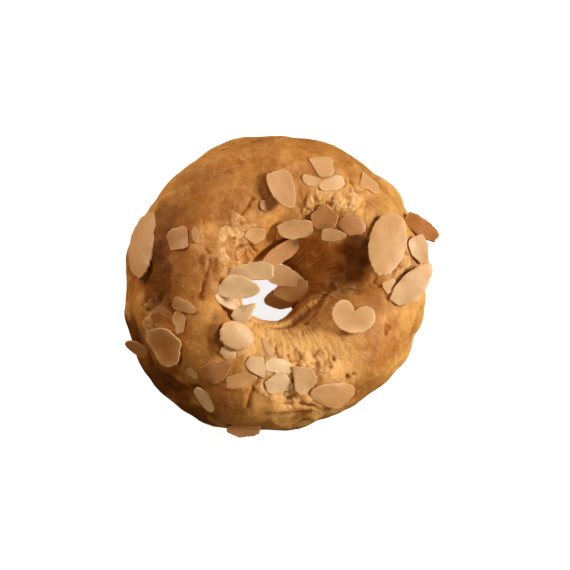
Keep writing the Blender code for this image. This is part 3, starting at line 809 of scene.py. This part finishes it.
def rim_reach(flake, turn):
    """How far the rim of a flake is from its middle in a direction, and that direction's unit vector."""
    length, width, _ = flake.size
    x = length / 2 * math.cos(turn)
    y = width / 2 * math.sin(turn) * (1 - flake.tip * math.cos(turn))
    reach = math.hypot(x, y)
    ray = Vector((x / reach, y / reach, 0))
    seed = Vector((0, 0, flake.spot[0]))
    reach *= 1 + flake.uneven * noise.noise(ray * 1.4 + seed)
    for direction, distance in flake.breaks:
        facing = ray.dot(Vector((math.cos(math.radians(direction)), math.sin(math.radians(direction)), 0)))
        if facing * reach > distance:
            reach = distance / facing
    if flake.notch:
        direction, half_width, depth = flake.notch
        angle = math.degrees(math.atan2(ray.y, ray.x))
        off = (angle - direction + 180) % 360 - 180
        reach -= depth * math.exp(-((off / half_width) ** 2))
    nibble = 1
    for pace in RIM_NIBBLE_PACES:
        nibble += RIM_NIBBLE * noise.noise(ray * pace + seed)
    return reach * nibble, ray


def flake_surface(flake, thinned_to, ball_point):
    """Where a point of a unit ball goes on the flake, in millimetres: its poles are the faces' middles."""
    length, width, thickness = flake.size
    turn = math.atan2(ball_point.y, ball_point.x)
    share = min(math.hypot(ball_point.x, ball_point.y), 1) ** flake.edge
    level = math.copysign(abs(ball_point.z) ** flake.edge, ball_point.z)
    reach, ray = rim_reach(flake, turn)
    flat = ray * (share * reach)
    out = min((2 * flat.x / length) ** 2 + (2 * flat.y / width) ** 2, 1)
    half = thinned_to * thickness / 2 * (1 - (1 - RIM_SHARE) * out)
    lift = (1 - thinned_to) * thickness / 2
    bend = flake.bow * (2 * flat.x / length) ** 2 + flake.cup * (2 * flat.y / width) ** 2
    curl = CURL_HEIGHT * noise.noise(flat / 4 + Vector((0, 0, flake.spot[1])))
    return Vector((flat.x, flat.y, bend + curl + lift + level * half)), share


def flake_frame(flake):
    """The matrix that sets a flake on the dough."""
    around, over = math.radians(flake.spot[0]), math.radians(flake.spot[1])
    along, across, outwards = directions(around, over)
    base = Matrix((along, across, outwards)).transposed()
    heading, pitch, roll = (math.radians(angle) for angle in flake.turn)
    turned = base @ Matrix.Rotation(heading, 3, "Z") @ Matrix.Rotation(-pitch, 3, "Y")
    turned = turned @ Matrix.Rotation(roll, 3, "X")
    point = smooth_ring(around, over)[None, :]
    lift = (relief(point) * off_foot_share(point))[0] + flake.spot[2] * MM
    middle = Vector(point[0] + outwards * lift)
    return Matrix.Translation(middle) @ turned.to_4x4() @ Matrix.Diagonal((MM, MM, MM, 1))


def add_flake(bm, flake, sides, rows, thinned_to, layers):
    """Adds one slice or chip to a bmesh: a ball pressed into a thin plate with its own outline."""
    made = bmesh.ops.create_uvsphere(bm, u_segments=sides, v_segments=rows, radius=1)
    matrix = flake_frame(flake)
    rim, place, toast = layers
    for vert in made["verts"]:
        point, share = flake_surface(flake, thinned_to, vert.co)
        vert[rim] = share
        # Toast here includes painted shade, darker towards the middle of a cupped slice
        vert[toast] = flake.toast + flake.cup_shade * (1 - share * share)
        vert[place] = point + Vector((0, 0, flake.spot[0]))
        vert.co = matrix @ point
    return made["verts"]


def almond_bmesh():
    """An empty bmesh with what the almond's material reads: nearness to the rim, place, and toasting with the
    painted shade of a cup.
    """
    bm = bmesh.new()
    rim = bm.verts.layers.float.new("rim")
    place = bm.verts.layers.float_vector.new("place")
    toast = bm.verts.layers.float.new("toast")
    return bm, (rim, place, toast)


def make_slices(material):
    for flake in SLICES:
        bm, layers = almond_bmesh()
        add_flake(bm, flake, SLICE_SIDES, SLICE_ROWS, SLICE_THINNED_TO, layers)
        piece = new_piece("almond_" + flake.name, bm, material)
        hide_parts(flake.name)


def angles_near(points, around, over):
    """The angles of the smooth ring's points that lie under these points, found from a first guess."""
    step = 0.001
    for _ in range(6):
        along, across, _ = directions(around, over)
        offset = points - smooth_ring(around, over)
        pace = np.linalg.norm(smooth_ring(around + step, over) - smooth_ring(around, over), axis=-1) / step
        climb = np.linalg.norm(smooth_ring(around, over + step) - smooth_ring(around, over), axis=-1) / step
        around = around + np.sum(offset * along, axis=-1) / pace
        over = over + np.sum(offset * across, axis=-1) / climb
    return around, over


def lay_on_dough(verts, flake, place):
    """Bends a chip to the dough under it, as dough rises round a chip while it bakes."""
    flat = np.array([vert[place] for vert in verts]) - np.array((0, 0, flake.spot[0]))
    height = flat[:, 2] * MM
    flat[:, 2] = 0
    matrix = np.array(flake_frame(flake))
    plane = flat @ matrix[:3, :3].T + matrix[:3, 3]
    start = np.ones(len(verts))
    middle = math.radians(flake.spot[0]), math.radians(flake.spot[1])
    around, over = angles_near(plane, start * middle[0], start * middle[1])
    under = smooth_ring(around, over)
    outwards = directions(around, over)[2]
    points = under + outwards * (skin_relief(under) - CHIP_SINK + height)[:, None]
    for vert, point in zip(verts, points.tolist()):
        vert.co = point


def make_chips(material):
    bm, layers = almond_bmesh()
    for flake in CHIPS:
        ragged = flake._replace(uneven=CHIP_UNEVEN)
        verts = add_flake(bm, ragged, CHIP_SIDES, CHIP_ROWS, CHIP_THINNED_TO, layers)
        lay_on_dough(verts, flake, layers[1])
    piece = new_piece("almond_chips", bm, material)
    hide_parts("dough_ring")


# ---- Materials ----

MATH = "ShaderNodeMath"
VECTOR = "ShaderNodeVectorMath"
MIX = "ShaderNodeMix"
RANGE = "ShaderNodeMapRange"    # a value from low to high, spread from 0 to 1 or between two more numbers
NOISE = "ShaderNodeTexNoise"
CELLS = "ShaderNodeTexVoronoi"
ATTRIBUTE = "ShaderNodeAttribute"
BUMP = "ShaderNodeBump"
HALVES = (0.5, 0.5, 0.5)

# A thin line runs where noise passes its middle value: how far off that its edge is, and its full core
LINE_EDGE = 0.12
LINE_CORE = 0.02


def linear(hex_colour):
    """An sRGB hex colour as the linear colour that a shader takes."""
    parts = [int(hex_colour[i:i + 2], 16) / 255 for i in (1, 3, 5)]
    return (*[c / 12.92 if c <= 0.04045 else ((c + 0.055) / 1.055) ** 2.4 for c in parts], 1)


def new_material(name):
    """A material with nodes, and its shader."""
    material = bpy.data.materials.new(name)
    material.use_nodes = True
    return material, material.node_tree.nodes["Principled BSDF"]


def set_inputs(node, inputs):
    """Gives a node its inputs, in order or by name: each is a number, a colour or another node's output."""
    for name, value in inputs.items() if isinstance(inputs, dict) else enumerate(inputs):
        if isinstance(value, bpy.types.NodeSocket):
            node.id_data.links.new(value, node.inputs[name])
        else:
            node.inputs[name].default_value = value


def add_node(material, kind, inputs=(), output=0, **settings):
    """Adds a shader node with its settings and links, and gives one of its outputs."""
    node = material.node_tree.nodes.new(kind)
    for name, value in settings.items():
        setattr(node, name, value)
    set_inputs(node, inputs)
    return node.outputs[output]


def soft_patches(add, place, size, detail, low, high, seed=0.0):
    """Patches of about this size in metres, as a share from 0 to 1."""
    shifted = add(VECTOR, (place, (seed, seed, seed)), operation="ADD")
    field = add(NOISE, {"Vector": shifted, "Scale": 1 / size, "Detail": detail, "Roughness": 0.6})
    return add(RANGE, (field, low, high))


def thin_lines(add, place, spacing, thickness, seed):
    """Thin wandering lines about this far apart, broken off here and there, as a share from 0 to 1."""
    shifted = add(VECTOR, (place, (seed, seed, seed)), operation="ADD")
    field = add(NOISE, {"Vector": shifted, "Scale": 0.5 / spacing, "Detail": 3, "Roughness": 0.55})
    off = add(MATH, (field, 0.5), operation="SUBTRACT")
    off = add(MATH, (off,), operation="ABSOLUTE")
    line = add(RANGE, (off, LINE_EDGE * thickness / spacing, LINE_CORE * thickness / spacing))
    kept = soft_patches(add, place, 1.6 * spacing, 2, 0.45, 0.60, seed + 2.2)
    return add(MATH, (line, kept), operation="MULTIPLY")


def tinted(add, colour, layers):
    """Lays tints over a colour, one after the other: each has a strength, and shares that it is held to."""
    share_at, under_at, over_at, colour_at = 0, 6, 7, 2
    for tint, strength, *shares in layers:
        for share in shares:
            strength = add(MATH, (strength, share), operation="MULTIPLY")
        inputs = {share_at: strength, under_at: colour, over_at: linear(tint)}
        colour = add(MIX, inputs, colour_at, data_type="RGBA")
    return colour


def summed(add, parts):
    """The sum of some parts, each times its strength."""
    total = 0.0
    for part, strength in parts:
        total = add(MATH, (part, strength, total), operation="MULTIPLY_ADD")
    return total


def baked_butter_dough():
    """Butter-rich dough, shaped by hand and baked: a matt, dry skin, gold to orange-brown, that flaked pale
    where it tore. It gives the eye streaks, freckles and torn flakes, painted highlights on raised edges and
    creases, and painted shade in hollows and splits."""
    material, shader = new_material("baked butter dough")
    add = partial(add_node, material)
    place = add("ShaderNodeTexCoord", output="Object")
    stretched = add(ATTRIBUTE, output="Vector", attribute_name="stretched")
    names = ("raised", "craggy", "browned_and_shaded", "shade_and_scorch", "golden", "flaked")
    raised, craggy, browned_and_shaded, shade_and_scorch, golden, flaked = [
        add(ATTRIBUTE, output="Fac", attribute_name=name) for name in names]

    # Gold crumb that turned brown in soft areas of 9 mm and in patches with torn borders, some of them
    # painted shade, and mottled in spots of 2 mm
    areas = soft_patches(add, place, 9 * MM, 5, 0.42, 0.60)
    torn = soft_patches(add, place, 3 * MM, 7, 0.38, 0.62, 4.4)
    torn_share = add(MATH, (torn, 0.5, 0.5), operation="MULTIPLY_ADD")
    browned_and_shaded = add(MATH, (browned_and_shaded, torn_share), operation="MULTIPLY")
    brown = add(MATH, (areas, 0.45, browned_and_shaded), operation="MULTIPLY_ADD", use_clamp=True)
    mottle = soft_patches(add, place, 2.0 * MM, 8, 0.42, 0.64, 3.1)

    # Scorched skin and painted shade, which are calmer than the rest: edges, streaks and creases show less
    # there
    ragged = add(MATH, (torn, 0.15, 0.85), operation="MULTIPLY_ADD")
    shade_and_scorch = add(MATH, (shade_and_scorch, ragged), operation="MULTIPLY")
    calm = add(RANGE, (shade_and_scorch, 0.2, 0.8, 1, 0.15))
    singe_and_shade = add(RANGE, (shade_and_scorch, 0, 0.65))
    char_and_deep_shade = add(RANGE, (shade_and_scorch, 0.5, 1))

    # Torn edges and lifted flakes dried pale in a fringe of 1.2 mm, raised edges also get a painted
    # highlight, and hollows get a painted orange-brown shade
    fringe = soft_patches(add, place, 1.2 * MM, 5, 0.42, 0.58, 5.7)
    edge = add(RANGE, (raised, 0.52, 0.85))
    lit_edge_strength = add(MATH, (craggy, 0.15, 0.2), operation="MULTIPLY_ADD")
    lit_edge_fringe = add(MATH, (fringe, 0.6, 0.4), operation="MULTIPLY_ADD")
    flake_fringe = add(MATH, (fringe, 0.4, 0.2), operation="MULTIPLY_ADD")
    hollow = add(RANGE, (raised, 0.48, 0.12))

    # Torn crust lies in flakes of 8 mm, each at a height, tilt and tone of its own, with a lip that gets a
    # painted highlight and a gap that gets painted shade
    push = add(NOISE, {"Vector": place, "Scale": 1 / (3.0 * MM), "Detail": 4}, "Color")
    push = add(VECTOR, (push, HALVES), operation="SUBTRACT")
    push = add(VECTOR, {0: push, "Scale": 2.5 * MM}, operation="SCALE")
    pushed = add(VECTOR, (place, push), operation="ADD")
    grid = {"Vector": pushed, "Scale": 1 / (8 * MM)}
    flake = add(CELLS, grid, feature="F1").node.outputs
    off = add(VECTOR, (pushed, flake["Position"]), operation="SUBTRACT")
    tilt = add(VECTOR, (flake["Color"], HALVES), operation="SUBTRACT")
    lean = add(VECTOR, (off, tilt), "Value", operation="DOT_PRODUCT")
    level, tone, _ = add("ShaderNodeSeparateColor", (flake["Color"],)).node.outputs
    border = add(CELLS, grid, "Distance", feature="DISTANCE_TO_EDGE")
    broken = soft_patches(add, place, 4 * MM, 3, 0.42, 0.56, 8.8)
    gap_shade = add(MATH, (add(RANGE, (border, 0.035, 0.01)), broken), operation="MULTIPLY")
    lit_lip = add(MATH, (add(RANGE, (border, 0.10, 0.05)), broken), operation="MULTIPLY")
    flaky = add(RANGE, (craggy, 0, 1, 0.08, 1.0))

    # Skin stretched in streaks that run over the ring, and crumpled in fine creases 3 mm apart that get a
    # painted highlight; a few splits that get painted shade, and freckles of 0.4 mm
    streak = soft_patches(add, stretched, 1.0 * MM, 4, 0.45, 0.65, 1.9)
    crease = thin_lines(add, place, 3.0 * MM, 0.8 * MM, 5.1)
    split = thin_lines(add, place, 5.0 * MM, 0.6 * MM, 7.7)
    freckle = soft_patches(add, place, 0.45 * MM, 2, 0.60, 0.70, 9.2)

    colour = tinted(add, linear("#D59B4E"), (
        # turned brown, with painted shade beside the largest slice
        ("#AA6926", brown),
        ("#9B6423", 0.45, mottle),
        # pale gold, with painted light where the skin faces the light
        ("#F4BF74", 0.8, golden),
        # painted shade, with real scorching at the foot and in folds
        ("#8E5412", 0.9, singe_and_shade),
        ("#502A0A", 0.9, char_and_deep_shade),
        # dried pale edges with a painted highlight
        ("#ECB970", lit_edge_strength, lit_edge_fringe, edge, calm),
        ("#EDBE80", flake_fringe, flaked),
        # painted shade in the hollows
        ("#97510F", 0.8, hollow),
        ("#A8703A", 0.15, tone, flaky),
        # painted highlight on each flake's lip
        ("#F8DAA8", 0.15, lit_lip, flaky),
        # painted shade in the gaps between flakes
        ("#A4622A", 0.3, gap_shade, flaky),
        ("#EFC07E", 0.10, streak, calm),
        # painted highlight along the creases
        ("#EFC388", 0.22, crease, calm),
        # painted shade in the splits
        ("#80460F", 0.25, split),
        ("#8E5316", 0.28, freckle),
    ))

    grain = soft_patches(add, place, 0.55 * MM, 5, 0.3, 0.7, 1.3)
    leather = soft_patches(add, place, 1.4 * MM, 3, 0.3, 0.7, 2.6)
    torn_height = summed(add, ((level, 1.5), (lean, 3 / MM), (gap_shade, -0.4)))
    height = summed(add, ((grain, 0.2), (leather, 0.25), (streak, 0.12), (split, -0.5), (crease, 0.4),
                          (flaky, torn_height)))
    set_inputs(shader, {
        "Base Color": colour,
        "Normal": add(BUMP, {"Height": height, "Strength": 0.75, "Distance": 0.25 * MM}),
        "Roughness": add(RANGE, (grain, 0, 1, 0.50, 0.72)),
        "Specular IOR Level": add(RANGE, (shade_and_scorch, 0, 1, 0.24, 0.08)),
        "IOR": 1.45,
        "Subsurface Weight": 0.3,
        "Subsurface Radius": (1.0, 0.45, 0.15),
        "Subsurface Scale": 2.5 * MM,
    })
    return material


def blanched_sliced_almond():
    """Blanched almond, cut in thin slices by a blade and toasted on the dough: ivory to tan, satin, with fine
    fibres along its length, a rim painted paler as a highlight and a middle painted darker as shade where a
    slice is cupped."""
    material, shader = new_material("toasted sliced almond")
    add = partial(add_node, material)
    rim = add(ATTRIBUTE, output="Fac", attribute_name="rim")
    toast = add(ATTRIBUTE, output="Fac", attribute_name="toast")
    place = add(ATTRIBUTE, output="Vector", attribute_name="place")

    # Places on the slice are in millimetres: fibres are drawn 0.5 mm apart and 5 mm long, so that they show
    stretched = add("ShaderNodeMapping", {"Vector": place, "Scale": (0.2, 1.6, 1.6)})
    fibre = add(RANGE, (add(NOISE, {"Vector": stretched, "Scale": 1.0, "Detail": 4}), 0.35, 0.65))
    cloud = add(RANGE, (add(NOISE, {"Vector": place, "Scale": 0.14, "Detail": 3}), 0.35, 0.65))
    colour = tinted(add, linear("#F8DCAE"), (
        # toast also carries the painted shade in a cupped slice's middle
        ("#D2A874", add(RANGE, (toast, 0, 0.35))),
        ("#A2601E", add(RANGE, (toast, 0.35, 1))),
        ("#C08444", add(RANGE, (toast, 0, 0.35, 0.12, 0.45)), cloud),
        ("#F2D6A4", 0.06, fibre),
        # painted highlight along the rim
        ("#F0D09A", 0.14, add(RANGE, (rim, 0.86, 1.0))),
    ))
    set_inputs(shader, {
        "Base Color": colour,
        "Normal": add(BUMP, {"Height": fibre, "Strength": 0.15, "Distance": 0.08 * MM}),
        "Roughness": add(RANGE, (cloud, 0, 1, 0.42, 0.58)),
        "IOR": 1.47,
        "Specular IOR Level": 0.4,
        "Subsurface Weight": 0.3,
        "Subsurface Radius": (1.0, 0.62, 0.34),
        "Subsurface Scale": 1.2 * MM,
    })
    return material


def matt_white_paper():
    """Matt studio paper: even and without a shine."""
    material, shader = new_material("matt white studio paper")
    set_inputs(shader, {
        "Base Color": linear("#F2F0EC"),
        "Roughness": 0.9,
        "Emission Color": linear("#FFFFFF"),
        "Emission Strength": FLOOR_GLOW,
    })
    return material


# ---- Floor, lights and camera ----

COOKIE_MIDDLE = Vector(RING_CENTRE) + Vector((0, 0, BELLY_HEIGHT))
FLOOR_RADIUS = 2.5
FLOOR_GLOW = 0.85
SKY_STRENGTH = 0.04

CAMERA_ELEVATION = 69
CAMERA_ROLL = 62
CAMERA_DISTANCE = 377 * MM
CAMERA_LENS = 80

# The photograph shows a millimetre as this many pixels, and the ring's middle this many off its own
PIXELS_PER_MM = 3.36
MIDDLE_OFF_FRAME = np.array((-8.0, 0.5)) / PIXELS_PER_MM * MM


class Softbox(NamedTuple):
    """A square softbox turned to the cookie; its strength is the light that falls on the cookie, in W/m2."""
    name: str
    heading: float
    elevation: float
    distance: float
    size: float
    strength: float
    colour: str


SOFTBOXES = [
    Softbox("key softbox", 72, 40, 0.4, 0.11, 3.85, "#FFFFFF"),
    Softbox("rim softbox", 199, 8, 0.7, 0.3, 3.0, "#FFEEDA"),
    Softbox("low softbox", 335, 40, 0.7, 0.4, 0.75, "#FFE2C0"),
    Softbox("overhead softbox", 0, 90, 0.7, 1.0, 0.5, "#FFDCB4"),
]


def make_floor():
    bm = bmesh.new()
    bmesh.ops.create_circle(bm, cap_ends=True, segments=96, radius=FLOOR_RADIUS)
    mesh = bpy.data.meshes.new("floor")
    bm.to_mesh(mesh)
    bm.free()
    mesh.materials.append(matt_white_paper())
    floor = bpy.data.objects.new("floor", mesh)
    bpy.context.scene.collection.objects.link(floor)
    floor.visible_diffuse = False
    floor.visible_glossy = False


def direction_of(heading, elevation):
    heading, elevation = math.radians(heading), math.radians(elevation)
    flat = math.cos(elevation)
    return Vector((flat * math.cos(heading), flat * math.sin(heading), math.sin(elevation)))


def make_softbox(box):
    lamp = bpy.data.lights.new(box.name, "AREA")
    lamp.size = box.size
    lamp.color = linear(box.colour)[:3]
    lamp.energy = box.strength * math.pi * box.distance ** 2
    towards = direction_of(box.heading, box.elevation)
    softbox = bpy.data.objects.new(box.name, lamp)
    softbox.location = COOKIE_MIDDLE + towards * box.distance
    softbox.rotation_euler = towards.to_track_quat("Z", "Y").to_euler()
    bpy.context.scene.collection.objects.link(softbox)


def make_sky():
    sky = bpy.data.worlds.new("soft white sky")
    sky.use_nodes = True
    set_inputs(sky.node_tree.nodes["Background"], {"Color": linear("#FFE2C0"), "Strength": SKY_STRENGTH})
    bpy.context.scene.world = sky


def make_camera():
    """Looks down at the cookie, turned so that the scene's far side is at the photograph's upper left."""
    elevation, roll = math.radians(CAMERA_ELEVATION), math.radians(CAMERA_ROLL)
    back = Vector((0, -math.cos(elevation), math.sin(elevation)))
    level = Vector((1, 0, 0))
    upright = back.cross(level)
    right = level * math.cos(roll) + upright * math.sin(roll)
    up = upright * math.cos(roll) - level * math.sin(roll)
    place = COOKIE_MIDDLE + back * CAMERA_DISTANCE - right * MIDDLE_OFF_FRAME[0] - up * MIDDLE_OFF_FRAME[1]
    data = bpy.data.cameras.new("camera")
    data.lens = CAMERA_LENS
    data.clip_start = 0.01
    camera = bpy.data.objects.new("camera", data)
    camera.matrix_world = Matrix.Translation(place) @ Matrix((right, up, back)).transposed().to_4x4()
    bpy.context.scene.collection.objects.link(camera)
    bpy.context.scene.camera = camera


noise.seed_set(PLATE_SEED)
make_dough(baked_butter_dough())
almond = blanched_sliced_almond()
make_slices(almond)
make_chips(almond)
make_floor()
for box in SOFTBOXES:
    make_softbox(box)
make_sky()
make_camera()
bpy.context.scene.view_settings.view_transform = "Standard"
